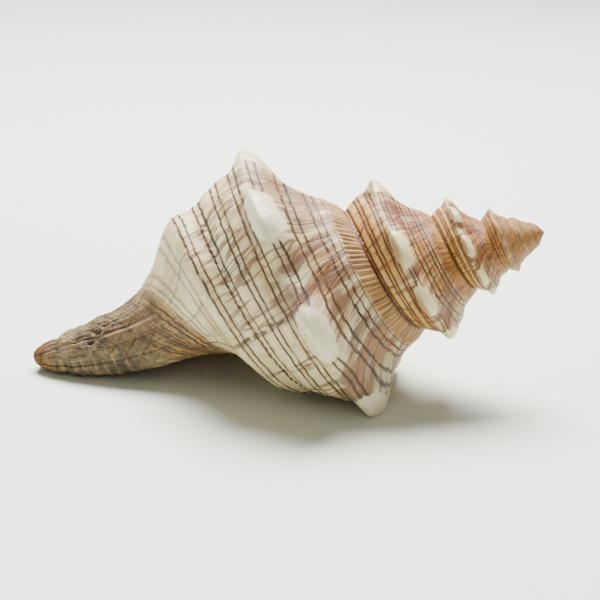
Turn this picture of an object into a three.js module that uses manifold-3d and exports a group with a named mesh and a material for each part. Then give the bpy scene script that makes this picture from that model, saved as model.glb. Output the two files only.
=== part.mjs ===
// A horse conch shell lying with its opening down: one grown piece, from the point of the
// spire to the end of the canal. Millimetres, +Z up, +X towards the point of the spire.
//
// The wall winds about the shell's own axis. d is a place along that axis, counted from the
// spire's point, and r is the distance from it. A turn counts whorls of growth: 0 is at the
// top of the last whorl, and the lip ends a little past it, on the far side (+Y).

import * as THREE from "three";
import Module from "manifold-3d";

// Size and growth
const SHELL_LENGTH = 129.7;      // along the axis
const SHOULDER_DISTANCE = 62.0;  // d of the growth at turn 0
const SHOULDER_RADIUS = 30.9;    // r of the growth at turn 0
const AXIAL_GROWTH = 1.79;       // each turn multiplies d by this
const RADIAL_GROWTH = 1.66;      // and r by this
const FIRST_TURN = -6.2;
const LIP_TURN = 0.29;

// How it lies on the table
const AXIS_PITCH = 18.82;        // degrees, the spire raised
const TURN_ZERO_ANGLE = 7.35;    // degrees from straight up towards the far side
const REST_WEAR = 0.6;           // flat worn at each place that it rests on

// A whorl from its suture to the next: share of the way, share of the growth radius
const SUTURE_START = 0.709;      // d of a whorl's suture, as a share of the growth's d
const BODY_EDGE = 0.94;
const WHORL_OUTLINE = [
  [0, BODY_EDGE / RADIAL_GROWTH], [0.03, 0.63], [0.16, 0.745], [0.3, 0.85], [0.42, 0.955],
  [0.5, 1.04], [0.6, 1.12], [0.75, 1.1], [0.9, 1.02], [1, BODY_EDGE],
];
// The last whorl below that: multiple of the next suture's d, share of the growth radius
const BASE_OUTLINE = [
  [1, BODY_EDGE], [1.05, 0.9], [1.1, 0.82], [1.13, 0.7], [1.175, 0.49],
  [1.22, 0.35], [1.3, 0.21], [1.4, 0.12], [1.6, 0.06], [3, 0],
];
const LIP_TUCK = 0.22;           // the base draws in by this share at the lip
const RELIEF_START = -5;         // turn where the first whorls begin to stand out
const RELIEF_FULL = -2.6;
const FIRST_WHORLS_RADIUS = 1.6; // added where the spire's point is blunt
const FIRST_WHORLS_END = 15;     // d where that has faded
const CANAL_RADIUS = 8.7;
const CANAL_GROWTH = 1.94;       // each turn multiplies the canal's radius by this
const CANAL_TAPER_START = 94;    // d where the canal starts to taper
const CANAL_HOOK = 3.6;          // the canal's end bends up by this
const CANAL_HOOK_START = 101;
const BEND_ANGLE = 19.35;        // degrees from straight up towards the far side

// Knobs on the shoulder
const KNOB_SPACING = 55;         // degrees on the last whorl
const KNOB_CLOSING = 0.727;      // degrees less for each knob towards the spire
const LEAST_KNOB_SPACING = 42;
const KNOB_HEIGHT = 0.184;       // share of the growth radius
const KNOB_PLACE = 0.49;         // share of the way from suture to suture
const KNOB_LENGTH = 0.118;       // half width on the same scale
const KNOB_SPREAD = 0.051;       // half width in turns
// Knobs that stand a few degrees off their even place, and knobs of uneven height
const KNOB_SHIFTS = new Map([[0, 16.5], [1, 12.3], [2, 11.8], [3, 8], [7, 9.4], [8, -6.2], [9, 2.1]]);
const KNOB_SHARES = new Map([[3, 1.35], [0, 1.1]]);

// Walls and hollow
const WALL = 2.2;
const GLAZE = 0.4;
const KNOBS_INSIDE = 0.5;        // share of the knobs' height that shows inside
const HOLLOW_FIRST_TURN = -1.3;
const HOLLOW_PAST_LIP = 0.025;   // turns
const HOLLOW_START = 0.13;       // share of the way from suture to suture
const HOLLOW_TIP_GAP = 4;        // the canal's hollow stops this far from its end

// Fineness
const STEPS_PER_TURN = 40;
const WHORL_ROWS = [0, 0.03, 0.16, 0.3, 0.4, 0.49, 0.6, 0.75, 0.9, 1];
const BASE_STEPS = 14;
const HOLLOW_STEPS = 11;
const LEAST_GAP = 0.15;
const SIDEWAYS = [-0.95, -0.75, -0.5, -0.25, 0, 0.25, 0.5, 0.75, 0.95];

const wasm = await Module();
wasm.setup();

const radians = THREE.MathUtils.degToRad;
const smooth = THREE.MathUtils.smoothstep;

// Height of a smooth line through points, with no overshoot between them
function alongOutline(points, x) {
  const last = points.length - 2;
  let i = 0;
  while (i < last && x > points[i + 1][0]) i += 1;
  const slope = (k) => (points[k + 1][1] - points[k][1]) / (points[k + 1][0] - points[k][0]);
  const tangent = (k) => {
    if (k === 0) return slope(0);
    if (k === last + 1) return slope(last);
    const before = slope(k - 1);
    const after = slope(k);
    return before * after <= 0 ? 0 : (2 * before * after) / (before + after);
  };
  const [x0, y0] = points[i];
  const [x1, y1] = points[i + 1];
  const span = x1 - x0;
  const t = THREE.MathUtils.clamp((x - x0) / span, 0, 1);
  const t2 = t * t;
  const t3 = t2 * t;
  return (2 * t3 - 3 * t2 + 1) * y0 + (t3 - 2 * t2 + t) * span * tangent(i)
    + (3 * t2 - 2 * t3) * y1 + (t3 - t2) * span * tangent(i + 1);
}

const radialScale = (turn) => SHOULDER_RADIUS * RADIAL_GROWTH ** turn;
const sutureDistance = (turn) => SHOULDER_DISTANCE * SUTURE_START * AXIAL_GROWTH ** turn;

// The knobs from past the lip back to the first whorl
const knobs = [];
let degreesBack = -2 * KNOB_SPACING;
for (let k = -2; degreesBack < -360 * FIRST_TURN; k += 1) {
  const turn = ((KNOB_SHIFTS.get(k) ?? 0) - degreesBack) / 360;
  knobs.push({ turn, share: KNOB_SHARES.get(k) ?? 1 });
  degreesBack += Math.max(KNOB_SPACING - KNOB_CLOSING * Math.max(k, 0), LEAST_KNOB_SPACING);
}

function knobRise(turn, share) {
  const across = Math.exp(-(((share - KNOB_PLACE) / KNOB_LENGTH) ** 2));
  const swell = (knob) => knob.share * Math.exp(-(((turn - knob.turn) / KNOB_SPREAD) ** 2));
  const along = knobs.reduce((sum, knob) => sum + swell(knob), 0);
  return KNOB_HEIGHT * across * along;
}

// Outer radius at a turn and a d, from that turn's suture down to the canal's end
function outerRadius(turn, d, knobsShown = 1) {
  const share = (d / sutureDistance(turn) - 1) / (AXIAL_GROWTH - 1);
  if (share < 1) {
    const relief = smooth(turn, RELIEF_START, RELIEF_FULL);
    const straight = THREE.MathUtils.lerp(BODY_EDGE / RADIAL_GROWTH, BODY_EDGE, share);
    const outline = alongOutline(WHORL_OUTLINE, share) + knobsShown * knobRise(turn, share);
    const blunt = FIRST_WHORLS_RADIUS * (1 - smooth(d, FIRST_WHORLS_END / 2, FIRST_WHORLS_END));
    return radialScale(turn) * THREE.MathUtils.lerp(straight, outline, relief) + blunt;
  }
  const below = d / sutureDistance(turn + 1);
  const tuck = LIP_TUCK * smooth(turn, 0, LIP_TURN) * smooth(below, 1, 1.1);
  const outline = alongOutline(BASE_OUTLINE, below) * (1 - tuck) + knobsShown * knobRise(turn, share);
  const body = radialScale(turn) * outline;
  return Math.hypot(body, canalRadius(turn, d) * smooth(below, 1, 1.08));
}

function canalRadius(turn, d) {
  const taper = THREE.MathUtils.clamp((d - CANAL_TAPER_START) / (SHELL_LENGTH - CANAL_TAPER_START), 0, 1);
  return CANAL_RADIUS * CANAL_GROWTH ** turn * (1 - taper ** 2.6) ** 0.55;
}

// From turn, d and r to a place in the room
function place(turn, d, r) {
  const pitch = radians(AXIS_PITCH);
  const angle = radians(TURN_ZERO_ANGLE) + 2 * Math.PI * turn;
  const past = (d - CANAL_HOOK_START) / (SHELL_LENGTH - CANAL_HOOK_START);
  const hook = CANAL_HOOK * Math.max(past, 0) ** 2;
  const up = r * Math.cos(angle) + hook * Math.cos(radians(BEND_ANGLE));
  const far = r * Math.sin(angle) + hook * Math.sin(radians(BEND_ANGLE));
  return [
    -d * Math.cos(pitch) - up * Math.sin(pitch),
    far,
    -d * Math.sin(pitch) + up * Math.cos(pitch),
  ];
}

// The whole outside, closed by a flat wall across the opening
function solidForm() {
  const points = [];
  const flat = [];
  const faces = [];
  const add = (turn, d, r) => {
    flat.push(new THREE.Vector2(d, r));
    return points.push(place(turn, d, r)) - 1;
  };
  const rows = WHORL_ROWS.length;
  const first = Math.round(FIRST_TURN * STEPS_PER_TURN);
  const count = Math.round(LIP_TURN * STEPS_PER_TURN) - first;
  const turnAt = (i) => LIP_TURN + (i - count) / STEPS_PER_TURN;
  const grid = [];
  for (let i = 0; i <= count; i += 1) {
    const turn = turnAt(i);
    const column = [];
    for (let j = 0; j < rows; j += 1) {
      const before = grid[i - STEPS_PER_TURN];
      if (j === 0 && before) {
        column.push(before[rows - 1]);
        continue;
      }
      const d = sutureDistance(turn) * (1 + (AXIAL_GROWTH - 1) * WHORL_ROWS[j]);
      column.push(add(turn, d, outerRadius(turn, d)));
    }
    grid.push(column);
  }
  const tip = add(0, SHELL_LENGTH, 0);
  const lastTurn = count - STEPS_PER_TURN;
  for (let i = lastTurn; i <= count; i += 1) {
    const turn = turnAt(i);
    const from = sutureDistance(turn + 1);
    for (let j = 1; j < BASE_STEPS; j += 1) {
      const d = from + (SHELL_LENGTH - from) * (1 - (1 - j / BASE_STEPS) ** 1.5);
      grid[i].push(add(turn, d, outerRadius(turn, d)));
    }
    grid[i].push(tip);
  }
  for (let i = 0; i < count; i += 1) {
    const width = Math.min(grid[i].length, grid[i + 1].length);
    for (let j = 0; j + 1 < width; j += 1) {
      const [a, b, c, e] = [grid[i][j], grid[i + 1][j], grid[i + 1][j + 1], grid[i][j + 1]];
      faces.push(a, b, c);
      if (c !== e) faces.push(a, c, e);
    }
  }
  // The spire's point closes over the open edge of the first whorl
  const point = add(turnAt(0), 0, 0);
  for (let i = 0; i < STEPS_PER_TURN; i += 1) faces.push(point, grid[i + 1][0], grid[i][0]);
  for (let j = 0; j + 1 < rows; j += 1) faces.push(point, grid[0][j], grid[0][j + 1]);
  // The flat wall across the opening
  const outer = grid[count];
  const inner = grid[lastTurn].slice(rows);
  const loop = [...outer, ...inner.slice(0, -1).reverse()];
  const outline = loop.map((index) => flat[index]);
  for (const [a, b, c] of THREE.ShapeUtils.triangulateShape(outline, [])) {
    faces.push(loop[a], loop[b], loop[c]);
  }
  return asSolid(points, faces);
}

function asSolid(points, faces) {
  const mesh = new wasm.Mesh({
    numProp: 3,
    vertProperties: new Float32Array(points.flat()),
    triVerts: new Uint32Array(faces),
  });
  const solid = new wasm.Manifold(mesh);
  return solid.volume() < 0 ? asSolid(points, faces.reverse()) : solid;
}

// The outer wall less its thickness, measured square to the wall
function innerWall(turn, d) {
  const under = (x) => outerRadius(turn, d + x * WALL, KNOBS_INSIDE) - WALL * Math.sqrt(1 - x * x);
  return Math.min(...SIDEWAYS.map(under));
}

function glazedWall(turn, d) {
  const over = (x) => outerRadius(turn, d + x * GLAZE) + GLAZE * Math.sqrt(1 - x * x);
  return Math.max(...SIDEWAYS.map(over));
}

// The hollow, wound with the wall and open at the lip. Its section at a turn lies between the
// outer wall and the whorl before, as far down as the canal reaches.
function hollow() {
  const points = [];
  const faces = [];
  const count = Math.round((LIP_TURN - HOLLOW_FIRST_TURN) * STEPS_PER_TURN);
  const size = 2 * (HOLLOW_STEPS + 1);
  const end = LIP_TURN + HOLLOW_PAST_LIP;
  for (let i = 0; i <= count; i += 1) {
    const turn = HOLLOW_FIRST_TURN + (end - HOLLOW_FIRST_TURN) * (i / count);
    const from = sutureDistance(turn) * (1 + (AXIAL_GROWTH - 1) * HOLLOW_START);
    const lower = [];
    for (let j = 0; j <= HOLLOW_STEPS; j += 1) {
      const share = j / HOLLOW_STEPS;
      const d = from + (SHELL_LENGTH - HOLLOW_TIP_GAP - from) * share ** 1.3;
      const top = innerWall(turn, d);
      const bottom = Math.max(glazedWall(turn - 1, d), LEAST_GAP);
      const middle = (top + bottom) / 2;
      points.push(place(turn, d, Math.max(top, middle + LEAST_GAP)));
      lower.push(place(turn, d, Math.min(bottom, middle - LEAST_GAP)));
    }
    points.push(...lower.reverse());
  }
  for (let i = 0; i < count; i += 1) {
    for (let j = 0; j < size; j += 1) {
      const a = i * size + j;
      const b = i * size + (j + 1) % size;
      faces.push(a, b, b + size, a, b + size, a + size);
    }
  }
  const cap = (base, turned) => {
    for (let j = 0; j < HOLLOW_STEPS; j += 1) {
      const [a, b] = [base + j, base + j + 1];
      const [c, e] = [base + size - 2 - j, base + size - 1 - j];
      faces.push(...(turned ? [a, b, c, a, c, e] : [a, c, b, a, e, c]));
    }
  };
  cap(0, false);
  cap(count * size, true);
  return asSolid(points, faces);
}

function shell() {
  const solid = solidForm().subtract(hollow());
  const rested = solid.trimByPlane([0, 0, 1], solid.boundingBox().min[2] + REST_WEAR);
  const mesh = rested.getMesh();
  const geometry = new THREE.BufferGeometry();
  geometry.setAttribute("position", new THREE.BufferAttribute(Float32Array.from(mesh.vertProperties), 3));
  geometry.setIndex(Array.from(mesh.triVerts));
  geometry.computeBoundingBox();
  const { min, max } = geometry.boundingBox;
  geometry.translate(-(min.x + max.x) / 2, -(min.y + max.y) / 2, -min.z);
  geometry.computeVertexNormals();
  const material = new THREE.MeshStandardMaterial({ color: 0xd9c8b4, roughness: 0.5, metalness: 0 });
  const node = new THREE.Mesh(geometry, material);
  node.name = "shell";
  return node;
}

const part = new THREE.Group();
part.add(shell());
export default part;
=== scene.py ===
import math
import bpy
import numpy as np
from mathutils import Matrix, Vector


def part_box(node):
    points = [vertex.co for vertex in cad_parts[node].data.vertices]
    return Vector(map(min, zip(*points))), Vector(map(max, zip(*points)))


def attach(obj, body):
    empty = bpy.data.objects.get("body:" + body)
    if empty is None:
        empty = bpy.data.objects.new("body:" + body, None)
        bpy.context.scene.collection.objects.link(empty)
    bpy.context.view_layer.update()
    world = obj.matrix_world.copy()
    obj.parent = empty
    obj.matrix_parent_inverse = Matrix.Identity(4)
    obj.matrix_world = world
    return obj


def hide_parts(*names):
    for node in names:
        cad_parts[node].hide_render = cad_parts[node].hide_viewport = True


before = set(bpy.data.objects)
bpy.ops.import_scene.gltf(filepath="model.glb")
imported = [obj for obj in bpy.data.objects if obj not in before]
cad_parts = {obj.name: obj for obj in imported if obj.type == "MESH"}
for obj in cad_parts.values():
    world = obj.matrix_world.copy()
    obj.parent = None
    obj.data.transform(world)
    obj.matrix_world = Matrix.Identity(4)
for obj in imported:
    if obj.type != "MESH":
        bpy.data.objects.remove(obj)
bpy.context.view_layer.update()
cadLow, cadHigh = (np.array(corner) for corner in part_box("shell"))
print("frame loaded")

# The shell winds about its own axis. d is a place along the axis, from the spire's point, r the
# distance from it, a turn counts whorls with 0 at the top of the last one, and share runs from a
# whorl's suture (0) to the next suture (1). Below the last whorl's suture the colours carry share
# on at the same rate, and the relief takes it from 1 there to 2 at the canal's end. Lengths are in
# millimetres and angles in degrees, until the mesh is made.
shell = {
    "length": 129.7, "shoulderD": 62.0, "shoulderR": 30.9,
    "axialGrowth": 1.79, "radialGrowth": 1.66, "sutureStart": 0.709,
    "firstTurn": -6.21, "lipTurn": 0.29,
    "pitch": 18.82, "turnZeroAngle": 7.35, "spireAt": (61.93, -3.716, 41.347),
    "bodyEdge": 0.94, "lipTuck": 0.22,
    "canalRadius": 8.7, "canalGrowth": 1.94, "canalTaperStart": 94.0,
    "canalHook": 3.6, "canalHookStart": 101.0, "bendAngle": 19.35,
    "reliefStart": -5.0, "reliefFull": -2.6, "bluntRadius": 1.6, "bluntEnd": 15.0, "domeD": 2.6,
    "wall": 2.2, "lipWall": 1.3, "lipBlend": 0.12, "glaze": 0.35, "hollowTurns": 1.0,
    "drawIn": 9, "least": 1e-9, "gap": 0.02,
}
# (share, radius against the shoulder's) down a whorl, and (d against the suture's, radius) below it
whorlOutline = [(0, shell["bodyEdge"] / shell["radialGrowth"]), (0.012, 0.6), (0.03, 0.635),
                (0.09, 0.69), (0.16, 0.735), (0.3, 0.84), (0.42, 0.955), (0.5, 1.04), (0.6, 1.12),
                (0.75, 1.1), (0.9, 1.02), (1, shell["bodyEdge"])]
baseOutline = [(1, shell["bodyEdge"]), (1.05, 0.9), (1.1, 0.82), (1.13, 0.7), (1.175, 0.49),
               (1.22, 0.35), (1.3, 0.21), (1.4, 0.12), (1.6, 0.06), (3, 0)]
knobs = {
    "spacing": 55.0, "closing": 0.727, "leastSpacing": 42.0, "height": 0.184,
    "place": 0.51, "length": 0.128, "spread": 0.05, "blunt": 2.8, "most": 1.35,
    "foldShare": 0.09, "foldSpread": 0.034, "inside": 0.5, "first": -2,
    "shifts": {0: 16.5, 1: 12.3, 2: 11.8, 3: 8.0, 7: 9.4, 8: -6.2, 9: 2.1},
    "shares": {3: 1.3, -2: 0.92},
}


# A cubic through points with no overshoot: each tangent is the harmonic mean of the slopes beside
# it, or level where they turn, and a cubic runs between each two points
def alongOutline(points, x):
    px, py = np.array(points, float).T
    slope = np.diff(py) / np.diff(px)
    tangent = np.empty_like(py)
    tangent[0], tangent[-1] = slope[0], slope[-1]
    before, after = slope[:-1], slope[1:]
    same = before * after > 0
    tangent[1:-1] = np.where(same, 2 * before * after / np.where(same, before + after, 1), 0)
    i = np.clip(np.searchsorted(px, x, side="right") - 1, 0, len(px) - 2)
    span = px[i + 1] - px[i]
    t = np.clip((x - px[i]) / span, 0, 1)
    return ((2 * t ** 3 - 3 * t ** 2 + 1) * py[i] + (t ** 3 - 2 * t ** 2 + t) * span * tangent[i]
            + (3 * t ** 2 - 2 * t ** 3) * py[i + 1] + (t ** 3 - t ** 2) * span * tangent[i + 1])


# 0 below low, 1 above high and three t squared less two t cubed between
def smooth(x, low, high):
    t = np.clip((x - low) / (high - low), 0, 1)
    return t * t * (3 - 2 * t)


# Value noise: a fixed scramble of lattice points, eased between them
def noise(x, y, seed=0):
    def lattice(i, j):
        value = np.sin(i * 127.1 + j * 311.7 + seed * 74.7) * 43758.5453
        return value - np.floor(value)

    i, j = np.floor(x), np.floor(y)
    u, v = x - i, y - j
    u, v = u * u * (3 - 2 * u), v * v * (3 - 2 * v)
    top = lattice(i, j) * (1 - u) + lattice(i + 1, j) * u
    low = lattice(i, j + 1) * (1 - u) + lattice(i + 1, j + 1) * u
    return (top * (1 - v) + low * v) * 2 - 1


knobList = []                               # (turn, share of full height), from past the lip back
degreesBack = knobs["first"] * knobs["spacing"]
k = knobs["first"]
while degreesBack < -360 * shell["firstTurn"]:
    knobList.append(((knobs["shifts"].get(k, 0) - degreesBack) / 360, knobs["shares"].get(k, 1)))
    degreesBack += max(knobs["spacing"] - knobs["closing"] * max(k, 0), knobs["leastSpacing"])
    k += 1


# The suture's d grows by a fixed factor each turn
def sutureD(turn):
    return shell["shoulderD"] * shell["sutureStart"] * shell["axialGrowth"] ** turn


# How far d has come from this turn's suture, against the way to the next
def shareAt(turn, d):
    return (d / sutureD(turn) - 1) / (shell["axialGrowth"] - 1)


# Sum of swellings along the growth, one for each knob: e to minus a power of the way from it
def knobAlong(turn, width):
    swell = sum(size * np.exp(-(np.abs(turn - at) / width) ** knobs["blunt"]) for at, size in knobList)
    return np.minimum(swell, knobs["most"])


# A knob is a blunt swelling, with a low fold running from it up to the suture
def knobRise(turn, share):
    along = knobAlong(turn, knobs["spread"])
    across = np.exp(-np.abs((share - knobs["place"]) / knobs["length"]) ** (knobs["blunt"] - 0.3))
    fold = smooth(share, 0.05, 0.3) * (1 - smooth(share, 0.45, 0.75))
    fold = fold * knobs["foldShare"] * knobAlong(turn, knobs["foldSpread"])
    return knobs["height"] * (along * across * 0.97 + fold)


# Radius at a turn and a d, from that turn's suture down to the canal's end: growth times the
# whorl's outline and its knobs, then growth times the base's outline, joined with the canal's
# radius as the two short sides of a right triangle
def outerRadius(turn, d, knobsShown=1.0):
    growth = shell["shoulderR"] * shell["radialGrowth"] ** turn
    share = shareAt(turn, d)
    grownIn = smooth(turn, shell["reliefStart"], shell["reliefFull"])
    edge = shell["bodyEdge"]
    first = edge / shell["radialGrowth"]
    straight = first + (edge - first) * share
    outline = alongOutline(whorlOutline, np.minimum(share, 1)) + knobsShown * knobRise(turn, share)
    blunt = shell["bluntRadius"] * (1 - smooth(d, shell["bluntEnd"] / 2, shell["bluntEnd"]))
    whorl = growth * (straight + (outline - straight) * grownIn) + blunt
    below = d / sutureD(turn + 1)
    tuck = shell["lipTuck"] * smooth(turn, 0, shell["lipTurn"]) * smooth(below, 1, 1.1)
    body = growth * (alongOutline(baseOutline, below) * (1 - tuck) + knobsShown * knobRise(turn, share))
    taper = np.clip((d - shell["canalTaperStart"]) / (shell["length"] - shell["canalTaperStart"]), 0, 1)
    canal = shell["canalRadius"] * shell["canalGrowth"] ** turn * (1 - taper ** 2.6) ** 0.55
    base = np.hypot(body, canal * smooth(below, 1, 1.08))
    return np.where(share < 1, whorl, base)


# From turn, d and r to a place beside the spire's point: r turned about the axis, with the canal's
# end hooked by the square of the way past the hook's start, and the whole tipped by the pitch
def place(turn, d, r):
    pitch, bend = math.radians(shell["pitch"]), math.radians(shell["bendAngle"])
    angle = math.radians(shell["turnZeroAngle"]) + 2 * np.pi * turn
    past = np.maximum((d - shell["canalHookStart"]) / (shell["length"] - shell["canalHookStart"]), 0)
    hook = shell["canalHook"] * past ** 2
    up = r * np.cos(angle) + hook * math.cos(bend)
    far = r * np.sin(angle) + hook * math.sin(bend)
    return np.stack([-d * math.cos(pitch) - up * math.sin(pitch), far + 0 * d,
                     -d * math.sin(pitch) + up * math.cos(pitch)], -1)


# Growth lines slant: near the suture they lie further on than at the knobs, so share times a
# slope is added to the turn, steep down to the knobs and slight below them
def grownAt(turn, share):
    def lean(x):
        return 0.15 * np.minimum(x, 0.5) + 0.05 * (x - 0.5) * (x > 0.5)

    return turn + lean(np.minimum(share, 2.0)) - lean(0.9)


# Rests in growth on the last whorl: (turn, strength)
rests = [(-0.252, 1.0), (-0.224, 0.4), (-0.165, 0.5), (-0.09, 0.8), (0.02, 0.5), (0.11, 0.7),
         (0.2, 0.5), (-0.325, 0.4), (-0.42, 0.8), (-0.5, 0.4), (-0.585, 0.7), (-0.66, 0.5)]
relief = {                                  # heights on the last whorl, pitches in share, places
    "wrinkle": 0.32, "wrinklesTurn": 92, "growthFine": 0.17, "growthMiddle": 0.22, "growthBroad": 0.3,
    "cord": 0.11, "cordPitch": 0.155, "cordStart": 0.12, "twist": 0.1, "twistPitch": 0.062,
    "rest": 0.5, "fold": 0.25, "sunk": 0.5, "inner": 0.16, "innerPitch": 0.052,
    "rings": 0.26, "lumps": 0.09, "worn": 0.9, "wornD": 112, "wornTurn": 0.12,
    "collar": 0.5, "collarD": 121.5,
}


# Fine relief on the outside, a sum of noise and cosines each held to its own zone: the crenulated
# band below the suture, growth lines, low cords along the growth, rests in growth, and the
# canal's rings, lumps, worn patch and collar
def fineRelief(turn, share, d):
    size = shell["radialGrowth"] ** np.minimum(turn, 0)
    grown = grownAt(turn, share)
    band = 1 - smooth(share, 0.1, 0.14)
    wave = turn * relief["wrinklesTurn"] + 0.4 * noise(turn * 60, share * 5, 3)
    height = relief["wrinkle"] * band * (np.sin(2 * np.pi * wave) - 0.3)
    height += relief["growthFine"] * noise(grown * 190, share * 4, 5) * smooth(share, 0.08, 0.2)
    height += relief["growthMiddle"] * noise(grown * 52, share * 6, 7)
    height += relief["growthBroad"] * noise(grown * 15, share * 3.5, 9) * smooth(share, 0.1, 0.25)
    cords = np.cos(2 * np.pi * (share / relief["cordPitch"] + relief["cordStart"]))
    height += relief["cord"] * cords * (1 - smooth(share, 1.3, 1.5))
    twist = np.cos(2 * np.pi * share / relief["twistPitch"])
    height += relief["twist"] * twist * smooth(share, 1.5, 1.6) * (1 - smooth(share, 2.0, 2.3))
    for restTurn, strength in rests:
        step = smooth(grown, restTurn - 0.004, restTurn)
        step = step * (1 - smooth(grown, restTurn, restTurn + 0.035))
        height -= relief["rest"] * strength * step * smooth(share, 0.2, 0.6)
    height += relief["fold"] * smooth(share, 1.32, 1.49) * (1 - smooth(share, 1.5, 1.56))
    height = (height - relief["sunk"]) * size
    canal = smooth(d, 88, 100)
    rings = noise(d * 0.42 + 0.8 * noise(turn * 6, d * 0.1, 2), turn * 2.5, 11)
    lumps = noise(turn * 24, d * 0.4, 12) + 0.7 * noise(turn * 60, d * 0.9, 13)
    height += canal * (relief["rings"] * rings + relief["lumps"] * lumps)
    worn = np.exp(-((d - relief["wornD"]) / 5) ** 2 - ((turn + relief["wornTurn"]) / 0.09) ** 2)
    height -= relief["worn"] * worn * smooth(noise(turn * 60, d * 0.8, 21), 0.05, 0.4)
    collar = np.exp(-((d - relief["collarD"]) / 0.8) ** 2)
    return (height - relief["collar"] * collar) * (1 - smooth(d, 127.5, shell["length"]))


# Blocks of growth: turns behind the lip, steps for each turn, rows from suture to suture
blocks = [(6.5, 3, 90, 20), (3, 1, 180, 40), (1, 0, 360, 80)]
baseRows, spread = 56, 1.35
innerSteps = 90


# Rows lie closer near the suture: part of the way in even steps and part as a power of it
def rowShare(rows):
    x = np.arange(rows + 1) / rows
    return 0.55 * x + 0.45 * x ** 1.6


parts = {"at": [], "turn": [], "share": [], "d": [], "inside": []}
counted = [0]


# Keeps points and what the colours need of each, and gives back their numbers
def addPoints(at, turn, share, d, inside):
    start = counted[0]
    shape = at.shape[:-1]
    counted[0] += int(np.prod(shape))
    for name, value in (("turn", turn), ("share", share), ("d", d), ("inside", inside)):
        parts[name].append(np.broadcast_to(value, shape).ravel())
    parts["at"].append(at.reshape(-1, 3))
    return start + np.arange(np.prod(shape)).reshape(shape)


# Two triangles for each four points in order round a cell
def quads(a, b, c, e):
    return [np.stack([a, b, c], -1).reshape(-1, 3), np.stack([a, c, e], -1).reshape(-1, 3)]


# Joins a coarse line of points to a fine one with twice as many steps
def stitch(coarse, fine, turned, skipFirst):
    b0, b1 = coarse[:-1], coarse[1:]
    f0, f1, f2 = fine[0:-2:2], fine[1:-1:2], fine[2::2]
    lists = [np.stack([b0, f1, b1], -1), np.stack([b1, f1, f2], -1),
             np.stack([b0, f0, f1], -1)[skipFirst:]]
    out = np.concatenate(lists)
    return out[:, ::-1] if turned else out


# The whorls as blocks of a grid over growth and share: each first row lies on the last row of the
# whorl before, and a block's first column is the last column of the block before
def outerGrid():
    faces, edges = [], {}
    lip = shell["lipTurn"]
    lastColumn, previousSteps = None, 0
    for start, end, steps, rows in blocks:
        count = round((start - end) * steps)
        turn = (lip - start + np.arange(count + 1) / steps)[:, None]
        share = rowShare(rows)[None, :]
        d = sutureD(turn) * (1 + (shell["axialGrowth"] - 1) * share)
        inside = d * (1 - shell["least"])
        r = outerRadius(turn, np.where(share == 1, inside, d)) + fineRelief(turn, share, d)
        seam = fineRelief(turn + 1, 0 * share, d)
        r = np.where(share == 1, outerRadius(turn, inside) + seam, r)
        r = r * np.sqrt(1 - (1 - np.minimum(d / shell["domeD"], 1)) ** 2)
        grid = addPoints(place(turn, d, r), turn, share, d, 0.0)
        firstFine = lastColumn is not None
        if not firstFine:
            edges["apexRow"], edges["apexColumn"] = grid[:steps + 1, 0], grid[0]
        for i in range(count + 1):
            key = round((start * 360 - i * 360 / steps) + 360)      # the same place one turn back
            if key in edges and not (i == 0 and firstFine):
                grid[i, 0] = edges[key]
        for i in range(count + 1):
            edges[round(start * 360 - i * 360 / steps)] = grid[i, -1]
        coarseSteps = 0
        if firstFine:
            coarseSteps = min(previousSteps, count // 2)
            rowLine = np.array([edges[round((start + 1) * 360 - i * 720 / steps)]
                                for i in range(coarseSteps + 1)])
            grid[0, ::2] = lastColumn
            faces.append(stitch(lastColumn, grid[1], False, 1))
            faces.append(stitch(rowLine, grid[:2 * coarseSteps + 1, 1], True, 1))
        i0, j0 = (1, 1) if firstFine else (0, 0)
        body = grid[i0:, j0:]
        faces += quads(body[:-1, :-1], body[1:, :-1], body[1:, 1:], body[:-1, 1:])
        if firstFine and count > 2 * coarseSteps:
            top = grid[2 * coarseSteps:, :2]
            faces += quads(top[:-1, 0], top[1:, 0], top[1:, 1], top[:-1, 1])
        lastColumn, previousSteps = grid[-1], steps
        edges["last"] = grid
    return faces, edges


# Rows below the suture, closer together towards the canal's end, as d and as share from 1 to 2
def baseD(turn, rows):
    v = np.arange(rows + 1)[None, :] / rows
    return sutureD(turn + 1) + (shell["length"] - sutureD(turn + 1)) * (1 - (1 - v) ** spread), 1 + v


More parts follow.
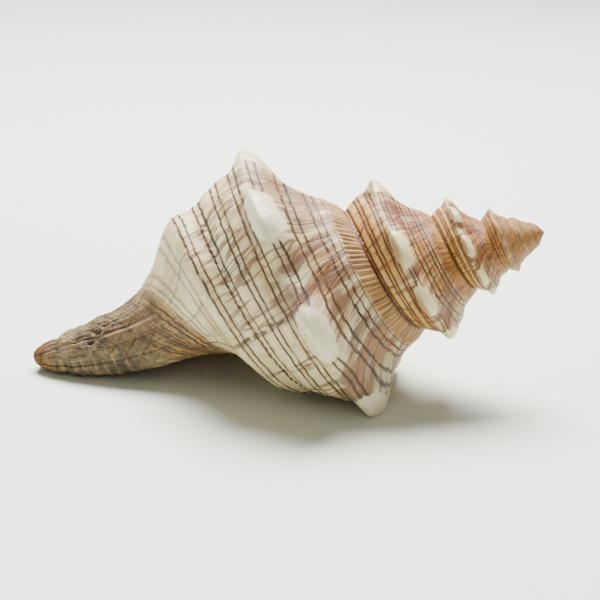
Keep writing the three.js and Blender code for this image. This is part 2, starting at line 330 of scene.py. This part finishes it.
# The whole closed surface: whorls, base and canal, the hollow's floor and roof, the lip's rounded
# edge as half circles between roof and outside, and the ends
def buildShell():
    faces, edges = outerGrid()
    lip, least = shell["lipTurn"], shell["least"]
    steps, rows = blocks[-1][2:]
    last = edges["last"]
    tip = addPoints(place(0.0, np.array([shell["length"]]), 0.0), -0.3, 2.0, shell["length"], 0.0)[0]
    # the base of the last whorl and the canal
    turn = (lip - 1 + np.arange(steps + 1) / steps)[:, None]
    d, share = baseD(turn, baseRows)
    r = outerRadius(turn, d * (1 + least)) + fineRelief(turn, share, d)
    base = addPoints(place(turn, d, r), turn, shareAt(turn, d), d, 0.0)
    base[:, 0] = last[:, -1]
    base[:, -1] = tip
    base[0, 0] = last[-1, 0]
    faces += quads(base[:-1, :-1], base[1:, :-1], base[1:, 1:], base[:-1, 1:])
    # the hollow: its floor is the whorl before, its roof the outer wall less its thickness
    count = int(innerSteps * shell["hollowTurns"])
    turn = (lip - shell["hollowTurns"] + np.arange(count + 1) / innerSteps)[:, None]
    inward = smooth(turn, lip, lip - shell["lipBlend"])
    glaze = shell["glaze"] * inward
    d, share = baseD(turn - 1, baseRows)
    floorR = outerRadius(turn - 1, d * (1 + least)) + glaze
    floorR = floorR + fineRelief(turn - 1, share, d) * (1 - inward)
    floor = addPoints(place(turn, d, floorR), turn - 1, shareAt(turn - 1, d), d, inward)
    whorlShare = rowShare(rows)[None, :-1]
    dWhorl = sutureD(turn) * (1 + (shell["axialGrowth"] - 1) * whorlShare)
    dBase, shareBase = baseD(turn, baseRows)
    dRoof = np.concatenate([dWhorl, dBase], 1)
    shareRoof = np.concatenate([whorlShare + 0 * turn, shareBase + 0 * turn], 1)
    wall = shell["lipWall"] + (shell["wall"] - shell["lipWall"]) * inward
    sideways = (-0.95, -0.7, -0.35, 0, 0.35, 0.7, 0.95)
    roofR = np.min([outerRadius(turn, dRoof + x * wall, knobs["inside"]) - wall * math.sqrt(1 - x * x)
                    for x in sideways], 0)
    ridges = np.cos(2 * np.pi * shareRoof / relief["innerPitch"])
    ridges = relief["inner"] * smooth(turn, lip, lip - 0.03) * ridges
    roofR = roofR + ridges * smooth(shareRoof, 0.15, 0.3) * (1 - smooth(shareRoof, 1.25, 1.4))
    floorUnder = outerRadius(turn - 1, dRoof * (1 + least)) + glaze
    roofR = np.maximum(roofR, floorUnder + shell["gap"])
    roofR = np.minimum(roofR, outerRadius(turn, dRoof) - shell["gap"])
    roof = addPoints(place(turn, dRoof, roofR), turn, shareAt(turn, dRoof), dRoof, 1.0)
    floor[:, -1] = tip
    roof[:, -1] = tip
    floor[-1] = base[0]
    roof[:, 0] = floor[:, 0]
    faces += quads(floor[:-1, :-1], floor[1:, :-1], floor[1:, 1:], floor[:-1, 1:])
    faces += quads(roof[:-1, :-1], roof[:-1, 1:], roof[1:, 1:], roof[1:, :-1])
    # the rounded edge of the lip, between the last column outside and the last one inside
    outerLip = np.concatenate([last[-1, :-1], base[-1]])
    innerLip = roof[-1]
    everything = np.concatenate(parts["at"])
    outerAt, innerAt = everything[outerLip], everything[innerLip]
    ahead = place(lip + 0.004, dRoof[-1], roofR[-1]) - place(lip, dRoof[-1], roofR[-1])
    ahead /= np.linalg.norm(ahead, axis=-1, keepdims=True) + 1e-9
    thick = np.linalg.norm(outerAt - innerAt, axis=-1, keepdims=True)
    columns = [outerLip]
    for angle in (45, 90, 135):
        mid = (outerAt + innerAt) / 2 + (outerAt - innerAt) / 2 * math.cos(math.radians(angle))
        mid = mid + ahead * thick * 0.5 * math.sin(math.radians(angle))
        column = addPoints(mid, lip, shareAt(lip, dRoof[-1]), dRoof[-1], 0.5)
        column[0], column[-1] = outerLip[0], tip
        columns.append(column)
    columns.append(innerLip)
    for one, two in zip(columns[:-1], columns[1:]):
        faces += quads(one[:-1], two[:-1], two[1:], one[1:])
    # the deep end of the hollow, and the spire's point
    faces += quads(roof[0, rows:-1], floor[0, :-1], floor[0, 1:], roof[0, rows + 1:])
    fan = roof[0, :rows + 1]
    faces.append(np.stack([fan[1:], fan[:-1], np.full(rows, floor[0, 0])], -1))
    point = addPoints(place(0.0, np.array([0.0]), 0.0), lip - blocks[0][0], 0.0, 0.0, 0.0)[0]
    row, column = edges["apexRow"], edges["apexColumn"]
    faces.append(np.stack([np.full(len(row) - 1, point), row[1:], row[:-1]], -1))
    faces.append(np.stack([np.full(len(column) - 1, point), column[:-1], column[1:]], -1))
    return np.concatenate(faces)


faces = buildShell()
at = np.concatenate(parts["at"])
values = {name: np.concatenate(parts[name]) for name in ("turn", "share", "d", "inside")}
used = np.unique(faces)
# Stand the shell on the floor and keep it inside the frame's box, drawing in only its far edges
at += shell["spireAt"]
for axis in range(3):
    lowest, highest = cadLow[axis] * 1000, cadHigh[axis] * 1000
    if axis == 2:
        at[:, 2] = np.maximum(at[:, 2], 0)
    for side, limit in ((-1, lowest), (1, highest)):
        reach = (at[used, axis] * side).max()
        start = limit * side - shell["drawIn"]
        if reach > limit * side and limit != 0:
            past = at[:, axis] * side > start
            drawn = (at[past, axis] * side - start) * shell["drawIn"] / (reach - start)
            at[past, axis] = side * (start + drawn)
# Only triangles with three places of their own go into the mesh
whole = (at[faces[:, 0]] != at[faces[:, 1]]).any(1) & (at[faces[:, 1]] != at[faces[:, 2]]).any(1)
whole &= (at[faces[:, 0]] != at[faces[:, 2]]).any(1)
faces = faces[whole]
used, faceIds = np.unique(faces, return_inverse=True)
faceIds = faceIds.reshape(-1, 3)
mesh = bpy.data.meshes.new("shellSurface")
mesh.vertices.add(len(used))
mesh.vertices.foreach_set("co", (at[used] / 1000).astype(np.float32).ravel())
mesh.loops.add(faceIds.size)
mesh.loops.foreach_set("vertex_index", faceIds.astype(np.int32).ravel())
mesh.polygons.add(len(faceIds))
mesh.polygons.foreach_set("loop_start", np.arange(0, faceIds.size, 3, dtype=np.int32))
mesh.polygons.foreach_set("use_smooth", np.ones(len(faceIds), bool))
# Each corner keeps its own whorl's numbers, so no colour smears over a suture
corner = {name: values[name][faces] for name in values}
lowest = corner["share"].min(1, keepdims=True)
over = (corner["share"] > 0.97) & (corner["share"] < 1.03)
over &= (corner["share"].max(1, keepdims=True) - lowest > 0.5) & (lowest < 0.4)
corner["turn"] = np.where(over, corner["turn"] + 1, corner["turn"])
corner["share"] = np.where(over, 0, corner["share"])
atTip = corner["d"] > shell["length"] - 0.001
others = np.where(atTip, 0, 1)
beside = (corner["turn"] * others).sum(1, keepdims=True) / np.maximum(others.sum(1, keepdims=True), 1)
corner["turn"] = np.where(atTip, beside, corner["turn"])
corner["share"] = np.where(atTip, shareAt(corner["turn"], corner["d"]), corner["share"])
corner["grown"] = grownAt(corner["turn"], corner["share"])
# How far a corner is on a knob along the growth, and on the knob's top both ways
corner["along"] = np.minimum(knobAlong(corner["turn"], knobs["spread"] * 0.9), 1)
corner["knob"] = corner["along"] * np.exp(-((corner["share"] - knobs["place"] - 0.035) / 0.15) ** 2)
for name, value in corner.items():
    layer = mesh.attributes.new(name, "FLOAT", "CORNER")
    layer.data.foreach_set("value", value.astype(np.float32).ravel())
mesh.update(calc_edges=True)
mesh.validate()
surface = bpy.data.objects.new("shellSurface", mesh)
bpy.context.scene.collection.objects.link(surface)
print("shell made,", len(faceIds), "triangles")


# A socket that can be used in an expression, each operator adding one Math node
class Wire:
    def __init__(self, tree, socket):
        self.tree, self.socket = tree, socket

    # any other node: its settings first, then values or links for its sockets
    def node(self, kind, settings, values, output=0):
        made = self.tree.nodes.new(kind)
        for name, value in settings.items():
            setattr(made, name, value)
        for name, value in values.items():
            if isinstance(value, Wire):
                self.tree.links.new(value.socket, made.inputs[name])
            else:
                made.inputs[name].default_value = value
        return Wire(self.tree, made.outputs[output])

    def math(self, operation, first, second=0.0):
        return self.node("ShaderNodeMath", {"operation": operation}, {0: first, 1: second})

    def __add__(self, other):
        return self.math("ADD", self, other)

    def __sub__(self, other):
        return self.math("SUBTRACT", self, other)

    def __rsub__(self, other):
        return self.math("SUBTRACT", other, self)

    def __mul__(self, other):
        return self.math("MULTIPLY", self, other)

    def __truediv__(self, other):
        return self.math("DIVIDE", self, other)

    __radd__, __rmul__ = __add__, __mul__

    def size(self):
        return self.math("ABSOLUTE", self)

    def part(self):
        return self.math("FRACT", self)

    def most(self, other):
        return self.math("MAXIMUM", self, other)

    # 0 below low, 1 above high, eased between; the other way round when low is above high
    def ease(self, low, high):
        turned = low > high
        low, high = min(low, high), max(low, high)
        return self.node("ShaderNodeMapRange", {"interpolation_type": "SMOOTHSTEP"},
                         {0: self, 1: low, 2: high, 3: float(turned), 4: float(not turned)})

    # rises from a to b and falls from c to e
    def band(self, a, b, c, e):
        return self.ease(a, b) * self.ease(e, c)

    def times(self, colour):
        return self.node("ShaderNodeVectorMath", {"operation": "MULTIPLY"}, {0: self, 1: colour})

    # colour a where this is 0, colour b where it is 1
    def mix(self, a, b):
        return self.node("ShaderNodeMix", {"data_type": "RGBA"}, {0: self, 6: a, 7: b}, 2)


# A screen colour from 0 to 255 as the linear one that the shader takes
def tone(*screen):
    return tuple(((c / 255 + 0.055) / 1.055) ** 2.4 for c in screen) + (1,)


finish = {
    "cream": tone(240, 231, 212), "greyBeige": tone(214, 197, 168), "knobWhite": tone(243, 238, 229),
    "violet": tone(124, 90, 80), "rust": tone(142, 82, 34), "rampBody": tone(208, 176, 128),
    "rampSpire": tone(188, 128, 62), "zone": tone(220, 176, 108), "line": tone(44, 27, 20),
    "band": tone(176, 122, 62), "bandDark": tone(112, 66, 38), "suture": tone(52, 30, 20),
    "growth": tone(112, 70, 50), "rest": tone(74, 46, 34), "canal": tone(186, 170, 152),
    "lineBrown": tone(88, 54, 28), "cordGold": tone(196, 156, 104), "cordBrown": tone(104, 76, 58),
    "bandBrown": tone(136, 90, 54), "bandPale": tone(188, 138, 86),
    "lilac": tone(150, 134, 134), "canalDark": tone(48, 32, 26), "tip": tone(186, 136, 84),
    "inside": tone(176, 98, 50), "deep": tone(92, 44, 24), "lipEdge": tone(78, 38, 26),
    "rustSpot": tone(132, 58, 20), "golden": tone(180, 132, 68),
    "aged": (0.85, 0.79, 0.58), "spireAged": (0.98, 0.88, 0.68), "cordAged": (0.68, 0.6, 0.45),
    "canalAged": (0.62, 0.57, 0.48), "tipAged": (0.66, 0.56, 0.3),
    "linePair": 0.165, "rampPitch": 0.052, "bandEnd": 0.135, "rough": 0.5, "gloss": 0.32,
    "bump": 0.5, "bumpHeight": 0.0004,
}


# Colour, gloss and the finest relief of the shell, drawn by turn and share: each layer is a mask,
# from zones and cloudy noise, that mixes its colour over what lies under it. The numbers given to
# ease and band are places in turn, share or d, or levels of noise
def shellFinish():
    material = bpy.data.materials.new("shellFinish")
    material.use_nodes = True
    tree = material.node_tree
    principled = tree.nodes["Principled BSDF"]
    start = Wire(tree, None)

    def value(name):
        return start.node("ShaderNodeAttribute", {"attribute_name": name}, {}, "Fac")

    turn, share, d, inside = value("turn"), value("share"), value("d"), value("inside")
    knob, along, grown = value("knob"), value("along"), value("grown")

    # cloudy values about 0 to 1 over two coordinates
    def cloud(x, y, detail=2.0, z=0.0):
        where = start.node("ShaderNodeCombineXYZ", {}, {0: x, 1: y, 2: z})
        return start.node("ShaderNodeTexNoise", {},
                          {"Vector": where, "Scale": 1.0, "Detail": detail, "Roughness": 0.6})

    old = turn.ease(-0.5, -0.95)
    patch = cloud(grown * 9, share * 5, 3.0)
    colour = patch.ease(0.36, 0.66).mix(finish["cream"], finish["greyBeige"])
    # ramp between the suture and the knobs
    ramp = share.ease(0.03, 0.1) * share.ease(0.52, 0.3)
    rampColour = old.mix(finish["rampBody"], finish["rampSpire"])
    colour = (ramp * (old * 0.4 + 0.5)).mix(colour, rampColour)
    below = share.band(0.62, 0.7, 1.2, 1.4)
    golden = cloud(grown * 17, share * 4, 2.0, 2.0).ease(0.35, 0.6)
    colour = (below * (old * 0.75 + 0.1) * (golden * 0.6 + 0.4)).mix(colour, finish["zone"])
    # streaks across the growth, strongest on the ramp and between knobs
    sway = cloud(grown * 14, share * 3, 2.0, 3.0) * 0.6
    streak = cloud(grown * 40 + sway, share * 1.6, 3.0, 7.0)
    fine = cloud(grown * 130 + sway * 3, share * 2.2, 2.0, 9.0)
    between = 1 - along.ease(0.2, 0.9) * 0.75
    onRamp = share.band(0.04, 0.14, 0.46, 0.66)
    pale = cloud(grown * 36 + sway, share * 2.0, 2.0, 13.0).ease(0.52, 0.62) * onRamp
    colour = (pale * (0.85 - old * 0.5)).mix(colour, finish["cream"])
    rust = streak.ease(0.44, 0.56) * onRamp * between
    colour = (rust * (old * 0.15 + 0.8)).mix(colour, finish["rust"])
    violet = cloud(grown * 44 + sway, share * 2.4, 3.0, 17.0).ease(0.49, 0.59)
    colour = (violet * share.band(0.12, 0.25, 0.6, 0.9) * 0.8).mix(colour, finish["violet"])
    colour = (fine.ease(0.48, 0.68) * 0.35 * (ramp + 0.25)).mix(colour, finish["growth"])
    warm = cloud(grown * 21, share * 9, 3.0, 19.0).ease(0.58, 0.72) * share.band(0.6, 0.75, 1.3, 1.5)
    colour = (warm * 0.4).mix(colour, finish["zone"])
    # violet-brown shade on the canal's side of each knob
    shade = along.ease(0.3, 0.9) * share.band(0.57, 0.63, 0.66, 0.78)
    colour = (shade * (old * 0.4 + 0.35)).mix(colour, finish["violet"])
    # clean white knobs with an uneven edge
    ragged = (cloud(turn * 50, share * 22, 3.0, 27.0) - 0.5) * 0.5
    youngest = turn.ease(-3.3, -2.4)
    top = (knob + ragged).ease(0.5, 0.62) * (youngest * 0.75 + 0.25)
    spots = (1 - along.ease(0.05, 0.4)) * share.band(0.36, 0.43, 0.5, 0.58) * old * youngest
    spots = spots * cloud(grown * 60, share * 8, 2.0, 29.0).ease(0.4, 0.5)
    colour = (spots * 0.85).mix(colour, finish["rustSpot"])
    colour = (top * 0.95).mix(colour, finish["knobWhite"])
    hollowSide = along.ease(0.6, 1.0) * share.band(0.53, 0.58, 0.61, 0.67)
    colour = (hollowSide * (old * 0.5 + 0.08)).mix(colour, finish["violet"])
    colour = ((1 - youngest) * 0.6).mix(colour, finish["golden"])
    # band under the suture, wrinkled across, and the dark suture
    wrinkle = cloud(turn * 92, share * 4, 1.0, 5.0).ease(0.35, 0.62)
    bandColour = wrinkle.mix(finish["bandDark"], finish["band"])
    youngBand = wrinkle.mix(finish["bandBrown"], finish["bandPale"])
    bandColour = (1 - old).ease(0.2, 0.9).mix(bandColour, youngBand)
    bandEdge = share + (cloud(turn * 60, share * 3, 2.0, 6.0) - 0.5) * 0.04
    colour = (bandEdge.ease(finish["bandEnd"], 0.11) * 0.85).mix(colour, bandColour)
    colour = ((share - finish["bandEnd"]).size().ease(0.009, 0.003) * 0.7).mix(colour, finish["line"])
    edge = share.ease(0.016, 0.006).most(share.band(0.985, 0.997, 1.003, 1.01) * old) * d.ease(6.0, 12.0)
    colour = (edge * 0.8).mix(colour, finish["suture"])
    # thin lines along the growth, in pairs
    wave = (cloud(grown * 44, share * 5, 3.0, 21.0) - 0.5) * 0.034
    placed = ((share + wave) / relief["cordPitch"] + relief["cordStart"]).part()
    away = ((placed - 0.5).size() - finish["linePair"]).size()
    thick = cloud(grown * 30, share * 14, 2.0, 23.0)
    lines = (away + (thick - 0.5) * 0.14).ease(0.085, 0.03) * thick.ease(0.25, 0.42)
    lines = lines * share.ease(0.13, 0.17) * (1 - top * 0.95)
    lines = lines * (1 - share.band(1.2, 1.28, 1.48, 1.52) * 0.4)
    fineLines = ((share + wave * 0.6) / finish["rampPitch"]).part()
    fineLines = (fineLines - 0.5).size().ease(0.16, 0.05) * share.band(0.15, 0.19, 0.36, 0.42) * old
    lines = lines.most(fineLines * thick.ease(0.3, 0.5) * 0.75)
    tint = cloud(grown * 6, share * 6, 2.0, 25.0).ease(0.4, 0.62)
    lineColour = tint.mix(finish["line"], finish["lineBrown"])
    # growth lines across
    growthAway = (cloud(grown * 26, share * 0.6, 3.0, 31.0) - 0.5).size()
    growth = growthAway.ease(0.021, 0.006) * (1 - top) * share.ease(0.08, 0.15)
    growth = growth * (share.ease(1.3, 1.0) * 0.8 + 0.2)
    colour = (growth * 0.75).mix(colour, finish["growth"])
    halo = away.ease(0.22, 0.03) * below * (old * 0.75 + 0.12)
    colour = halo.mix(colour, finish["rust"])
    # the twisted cord of old canal edges, brown and gold with many lines
    cord = share.band(1.49, 1.55, 1.95, 2.3)
    cordPatch = cloud(grown * 16, share * 12, 3.0, 33.0).ease(0.38, 0.62)
    cordColour = cordPatch.mix(finish["cordGold"], finish["cordBrown"])
    colour = (cord * 0.85).mix(colour, cordColour)
    cordLines = ((share + wave * 1.5) / relief["twistPitch"]).part()
    cordLines = (cordLines - 0.5).size().ease(0.17, 0.06) * cord * thick.ease(0.3, 0.5)
    lines = lines.most(cordLines)
    canalward = d.ease(90.0, 102.0)
    colour = (lines * 0.97 * (1 - canalward * 0.5)).mix(colour, lineColour)
    # the rests in growth
    restWave = (cloud(share * 7, turn * 3, 2.0, 41.0) - 0.5) * 0.014
    rest = None
    for restTurn, strength in rests:
        mark = (grown + restWave - restTurn).size().ease(0.0055, 0.001) * strength
        rest = mark if rest is None else rest.most(mark)
    rest = rest * cloud(share * 12, turn * 8, 2.0, 43.0).ease(0.35, 0.55)
    rest = rest * share.band(0.55, 0.7, 1.5, 1.7) * (1 - top)
    colour = (rest * 0.85).mix(colour, finish["rest"])
    # little clusters of pits
    cluster = cloud(turn * 7, share * 4, 1.0, 45.0).ease(0.6, 0.66)
    cluster = cluster * cloud(turn * 240, share * 46, 1.0, 47.0).ease(0.63, 0.7)
    colour = (cluster * 0.8 * d.ease(16.0, 22.0)).mix(colour, finish["canalDark"])
    # canal: worn grey with lilac and brown, painted shade in rings on its underside, a net of slanting
    # lines, pits, ochre tip
    canalPatch = cloud(turn * 8, d * 0.16, 4.0, 51.0)
    canalColour = canalPatch.ease(0.4, 0.62).mix(finish["canal"], finish["lilac"])
    stain = cloud(turn * 14, d * 0.3, 4.0, 55.0).ease(0.5, 0.64)
    canalColour = (stain * 0.6).mix(canalColour, finish["cordBrown"])
    warmPatch = cloud(turn * 11, d * 0.22, 3.0, 56.0).ease(0.52, 0.66)
    canalColour = (warmPatch * 0.45).mix(canalColour, finish["cordGold"])
    # painted shade: the canal's underside, towards the floor and the viewer, darkened in rings
    under = turn.band(-0.66, -0.5, -0.3, -0.16) * d.band(96.0, 106.0, 124.0, 127.0)
    shadeRings = cloud(turn * 4, d * 0.85, 2.0, 58.0).ease(0.42, 0.56)
    canalColour = (under * shadeRings * 0.85).mix(canalColour, finish["canalDark"])
    one = ((d * 0.2 + turn * 10 + canalPatch * 0.5).part() - 0.5).size().ease(0.12, 0.03)
    two = ((d * 0.14 - turn * 7 + canalPatch * 0.6).part() - 0.5).size().ease(0.12, 0.03)
    broken = cloud(turn * 20, d * 0.5, 3.0, 53.0)
    net = one.most(two) * broken.ease(0.4, 0.54) * d.ease(118.0, 104.0)
    canalColour = (net * 0.8).mix(canalColour, finish["canalDark"])
    pits = cloud(turn * 60, d * 1.0, 1.0, 57.0).ease(0.68, 0.74)
    canalColour = (pits * 0.85).mix(canalColour, finish["canalDark"])
    eaten = (turn + relief["wornTurn"]).size().ease(0.13, 0.04) * broken.ease(0.42, 0.5)
    eaten = eaten * (d - relief["wornD"]).size().ease(8.0, 3.0)
    canalColour = (eaten * 0.75).mix(canalColour, finish["rest"])
    tipPatch = cloud(turn * 12, d * 0.5, 3.0, 59.0)
    canalColour = ((d + tipPatch * 5).ease(126.0, 128.5) * 0.9).mix(canalColour, finish["tip"])
    tipDark = d.ease(124.0, 128.0) * tipPatch.ease(0.5, 0.6) * 0.9
    canalColour = tipDark.mix(canalColour, finish["canalDark"])
    colour = (canalward * 0.92).mix(colour, canalColour)
    # age yellows the whole outside, most of all the spire, the twisted cord and the canal
    colour = colour.times(finish["aged"])
    for where, tint in ((old, "spireAged"), (cord * 0.8, "cordAged"), (canalward, "canalAged"),
                        (d.ease(123.0, 128.0), "tipAged")):
        colour = where.mix(colour, colour.times(finish[tint]))
    # the inside: orange-brown, darker deep in, dark at the lip's edge
    insidePatch = cloud(turn * 7, share * 4, 2.0, 61.0).ease(0.3, 0.7)
    insideColour = insidePatch.mix(finish["inside"], finish["deep"])
    insideColour = turn.ease(0.28, 0.0).mix(insideColour, finish["deep"])
    edgeMask = inside.ease(0.2, 0.45) * inside.ease(0.98, 0.6)
    colour = inside.ease(0.05, 0.5).mix(colour, insideColour)
    colour = (edgeMask * 0.8).mix(colour, finish["lipEdge"])
    tree.links.new(colour.socket, principled.inputs["Base Color"])

    rough = finish["rough"] - top * (finish["rough"] - finish["gloss"])
    rough = rough + canalward * 0.2 + patch * 0.08 - inside * 0.15
    tree.links.new(rough.socket, principled.inputs["Roughness"])
    height = fine * 0.5 + cloud(turn * 300, share * 6, 2.0, 71.0) * 0.3 - lines * 0.35 - growth * 0.4
    height = height + canalward * (broken * 0.8 - pits * 2.2 - net * 0.5) - rest * 0.8 - ragged * top
    bump = start.node("ShaderNodeBump", {}, {"Height": height, "Strength": finish["bump"],
                                             "Distance": finish["bumpHeight"]})
    tree.links.new(bump.socket, principled.inputs["Normal"])
    return material


surface.data.materials.append(shellFinish())
print("shell finish made")
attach(surface, "root")
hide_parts("shell")

# Floor and light
studio = {
    "floorX": (-3.0, 3.0), "floorY": (-3.0, 6.0), "floor": (0.74, 0.79, 0.68, 1), "floorRough": 0.7,
    "air": (0.97, 0.95, 0.88, 1), "airStrength": 0.38,
    "top": {"location": (-0.05, 0.3, 0.7), "target": (0, 0, 0), "size": (0.5, 0.42), "power": 32},
    "front": {"location": (0.2, -0.9, 0.6), "target": (0, 0, 0.02), "size": (0.8, 0.6), "power": 0.7},
}
floorMesh = bpy.data.meshes.new("floorSheet")
x, y = np.meshgrid(studio["floorX"], studio["floorY"], indexing="ij")
corners = np.stack([x, y, 0 * x], -1).reshape(-1, 3)
floorMesh.from_pydata(corners.tolist(), [], [(0, 2, 3, 1)])
floorSheet = bpy.data.objects.new("floorSheet", floorMesh)
bpy.context.scene.collection.objects.link(floorSheet)
floorMaterial = bpy.data.materials.new("paleFloor")
floorMaterial.use_nodes = True
floorSockets = floorMaterial.node_tree.nodes["Principled BSDF"].inputs
floorSockets["Base Color"].default_value = studio["floor"]
floorSockets["Roughness"].default_value = studio["floorRough"]
floorMesh.materials.append(floorMaterial)

world = bpy.data.worlds.new("studio")
bpy.context.scene.world = world
world.use_nodes = True
worldSockets = world.node_tree.nodes["Background"].inputs
worldSockets["Color"].default_value = studio["air"]
worldSockets["Strength"].default_value = studio["airStrength"]


# A rectangle of light at a place, turned to face its target
def areaLight(name, location, target, size, power):
    data = bpy.data.lights.new(name, "AREA")
    data.shape, data.size, data.size_y, data.energy = "RECTANGLE", size[0], size[1], power
    light = bpy.data.objects.new(name, data)
    light.location = location
    light.rotation_euler = (Vector(target) - Vector(location)).to_track_quat("-Z", "Y").to_euler()
    bpy.context.scene.collection.objects.link(light)


areaLight("topLight", **studio["top"])
areaLight("frontFill", **studio["front"])
print("floor and light placed")

# What the photo shows of the shell: its axis rises by slope across the picture and comes towards
# the viewer by towards, and its spire's point is at apex, in pixels of the square frame
view = {
    "distance": 0.376, "slope": 15.6, "towards": 10.2, "apex": (544.5, 232.0),
    "pixel": 0.000235, "frame": 600, "sensor": 36, "clipStart": 0.01,
}


# The axis with an upward direction is known both in the picture and in the room, so the turn
# between the two is the camera's, and it then stands back from the spire's point
def placeCamera():
    data = bpy.data.cameras.new("camera")
    camera = bpy.data.objects.new("camera", data)
    slope, towards = math.radians(view["slope"]), math.radians(view["towards"])
    axisSeen = Vector((math.cos(towards) * math.cos(slope), math.cos(towards) * math.sin(slope),
                       math.sin(towards)))
    upSeen = Vector((0, 1, 0)) - axisSeen * axisSeen.y
    upSeen.normalize()
    pitch = math.radians(shell["pitch"])
    axis = Vector((math.cos(pitch), 0, math.sin(pitch)))
    level = Vector((-math.sin(pitch), 0, math.cos(pitch)))
    far = Vector((0, 1, 0))
    lean = math.radians(shell["bendAngle"])
    upRoom = level * math.cos(lean) + far * math.sin(lean)
    seen = Matrix((axisSeen, upSeen, axisSeen.cross(upSeen))).transposed()
    room = Matrix((axis, upRoom, axis.cross(upRoom))).transposed()
    turnMatrix = room @ seen.transposed()
    apexRoom = Vector(shell["spireAt"]) / 1000
    half = view["frame"] / 2
    apexSeen = Vector((view["apex"][0] - half, half - view["apex"][1],
                       -view["distance"] / view["pixel"])) * view["pixel"]
    camera.matrix_world = Matrix.Translation(apexRoom - turnMatrix @ apexSeen) @ turnMatrix.to_4x4()
    data.sensor_width = view["sensor"]
    data.lens = view["sensor"] * view["distance"] / (view["frame"] * view["pixel"])
    data.clip_start = view["clipStart"]
    bpy.context.scene.collection.objects.link(camera)
    bpy.context.scene.camera = camera


placeCamera()
print("camera placed")
